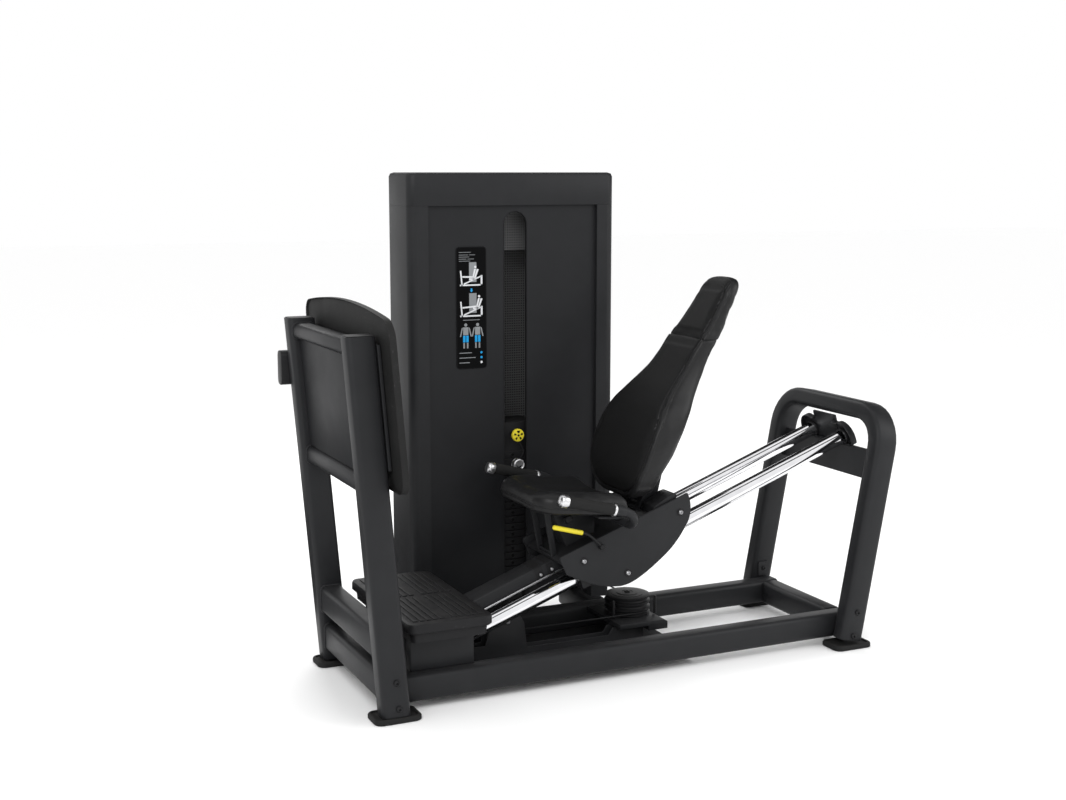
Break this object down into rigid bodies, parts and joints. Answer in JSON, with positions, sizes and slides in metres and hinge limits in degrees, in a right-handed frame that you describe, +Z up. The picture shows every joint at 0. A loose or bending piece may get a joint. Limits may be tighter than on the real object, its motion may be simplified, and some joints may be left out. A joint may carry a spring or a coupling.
{
  "type": "leg press machine",
  "caption": "Seated leg press: a seat carriage rides up two inclined chrome rods away from a fixed foot plate, pulling a cable to a pin-selected weight stack in a tower.",
  "frame": {"origin": "on the floor, at the centre of the machine's bounding box", "axes": "+X from the foot plate towards the rear hoop, +Y from the near side towards the weight tower, +Z up"},
  "size_m": [1.9906, 1.001, 1.622],
  "materials": {
    "powder_coat": "fine matte charcoal powder coat",
    "panel_coat": "smooth matte charcoal paint on sheet metal",
    "cast_plate": "black painted cast plate",
    "black_plastic": "fine-grained moulded plastic",
    "rubber": "matte rubber",
    "vinyl": "smooth satin upholstery vinyl",
    "seat_fabric": "dark embossed upholstery with smoother sides",
    "chrome": "polished chrome plate",
    "satin_aluminium": "satin machined",
    "yellow_plastic": "glossy yellow moulding",
    "cable_jacket": "black plastic-coated steel cable"
  },
  "bodies": {
    "frame": {"near_base_rail": "powder_coat", "far_base_rail": "powder_coat", "rear_cross_tube": "powder_coat", "front_lower_tube": "powder_coat", "front_upper_tube": "powder_coat", "near_upright": "powder_coat", "far_upright": "powder_coat", "top_cross_tube": "powder_coat", "middle_cross_tube": "powder_coat", "foot_plate_backing": "powder_coat", "rear_hoop": "powder_coat", "rod_bracket": "powder_coat", "step_frame": "powder_coat", "base_channel": "powder_coat", "base_pulley_mount": "powder_coat", "tower_link_tube": "powder_coat", "tower_base": "powder_coat", "tower_casing": "powder_coat", "tower_top": "powder_coat", "foot_rest_back_panel": "panel_coat", "tower_front_panel": "panel_coat", "resting_weight_plates": "cast_plate", "accessory_holder": "black_plastic", "step_cover": "black_plastic", "near_front_foot_pad": "rubber", "far_front_foot_pad": "rubber", "near_rear_foot_pad": "rubber", "far_rear_foot_pad": "rubber", "foot_plate": "rubber", "near_guide_rod": "chrome", "far_guide_rod": "chrome", "left_stack_guide_rod": "chrome", "right_stack_guide_rod": "chrome", "main_cable": "cable_jacket"},
    "press_beam": {"pull_beam": "powder_coat", "press_cable": "cable_jacket"},
    "seat_carriage": {"near_side_plate": "powder_coat", "far_side_plate": "powder_coat", "near_bearing_block": "black_plastic", "far_bearing_block": "black_plastic", "carriage_saddle": "powder_coat", "seat_pad": "vinyl", "back_pad": "seat_fabric", "headrest_pad": "seat_fabric", "back_post": "powder_coat", "handle_bar": "powder_coat", "near_grip": "rubber", "far_grip": "rubber"},
    "stack_load": {"selected_weight_plate": "cast_plate", "head_plate": "cast_plate", "stack_cable": "cable_jacket", "lanyard": "cable_jacket"},
    "selector_pin": {"selector_pin": "satin_aluminium"},
    "increment_dial": {"increment_dial": "yellow_plastic"},
    "seat_lever": {"seat_lever": "yellow_plastic"},
    "front_pulley": {"front_pulley": "black_plastic"},
    "base_pulley": {"base_pulley": "black_plastic"},
    "tower_base_pulley": {"tower_base_pulley": "black_plastic"},
    "right_top_pulley": {"right_top_pulley": "black_plastic"},
    "left_top_pulley": {"left_top_pulley": "black_plastic"}
  },
  "joints": [
    {"name": "beam_slide", "type": "slide", "parent": "frame", "child": "press_beam", "axis": [0.9367, 0, 0.3502], "range_m": [0, 0.5], "deforming": ["press_cable"]},
    {"name": "seat_adjust", "type": "slide", "parent": "press_beam", "child": "seat_carriage", "axis": [0.9367, 0, 0.3502], "range_m": [-0.24, 0]},
    {"name": "stack_lift", "type": "slide", "parent": "frame", "child": "stack_load", "axis": [0, 0, 1], "range_m": [0, 0.5], "deforming": ["stack_cable"]},
    {"name": "selector_pin_pull", "type": "slide", "parent": "stack_load", "child": "selector_pin", "axis": [0, -1, 0], "range_m": [0, 0.034], "deforming": ["lanyard"]},
    {"name": "increment_dial_turn", "type": "hinge", "parent": "stack_load", "child": "increment_dial", "pos_m": [-0.1445, 0.3215, 0.707], "axis": [0, 1, 0], "range_deg": [0, 90]},
    {"name": "seat_lever_lift", "type": "hinge", "parent": "seat_carriage", "child": "seat_lever", "pos_m": [-0.0785, -0.2455, 0.416], "axis": [0, 1, 0], "range_deg": [0, 9], "stiffness_Nm_per_rad": 1, "springref_deg": -14.32},
    {"name": "front_pulley_turn", "type": "hinge", "parent": "frame", "child": "front_pulley", "pos_m": [-0.3565, -0.0855, 0.165], "axis": [0, 1, 0], "range_deg": [0, 657]},
    {"name": "base_pulley_turn", "type": "hinge", "parent": "frame", "child": "base_pulley", "pos_m": [0.1425, -0.0115, 0.141], "axis": [0, 0, 1], "range_deg": [-393, 0]},
    {"name": "tower_base_pulley_turn", "type": "hinge", "parent": "frame", "child": "tower_base_pulley", "pos_m": [0.2165, 0.3615, 0.16], "axis": [1, 0, 0], "range_deg": [-740, 0]},
    {"name": "right_top_pulley_turn", "type": "hinge", "parent": "frame", "child": "right_top_pulley", "pos_m": [0.1775, 0.4005, 1.42], "axis": [0, 1, 0], "range_deg": [0, 740]},
    {"name": "left_top_pulley_turn", "type": "hinge", "parent": "frame", "child": "left_top_pulley", "pos_m": [-0.1055, 0.4005, 1.42], "axis": [0, 1, 0], "range_deg": [0, 740]}
  ],
  "couplings": [
    {"joint": "stack_lift", "follows": "beam_slide", "ratio": 1},
    {"joint": "front_pulley_turn", "follows": "beam_slide", "rad_per_m": 22.727},
    {"joint": "base_pulley_turn", "follows": "beam_slide", "rad_per_m": -13.514},
    {"joint": "tower_base_pulley_turn", "follows": "beam_slide", "rad_per_m": -25.641},
    {"joint": "right_top_pulley_turn", "follows": "beam_slide", "rad_per_m": 25.641},
    {"joint": "left_top_pulley_turn", "follows": "beam_slide", "rad_per_m": 25.641}
  ]
}
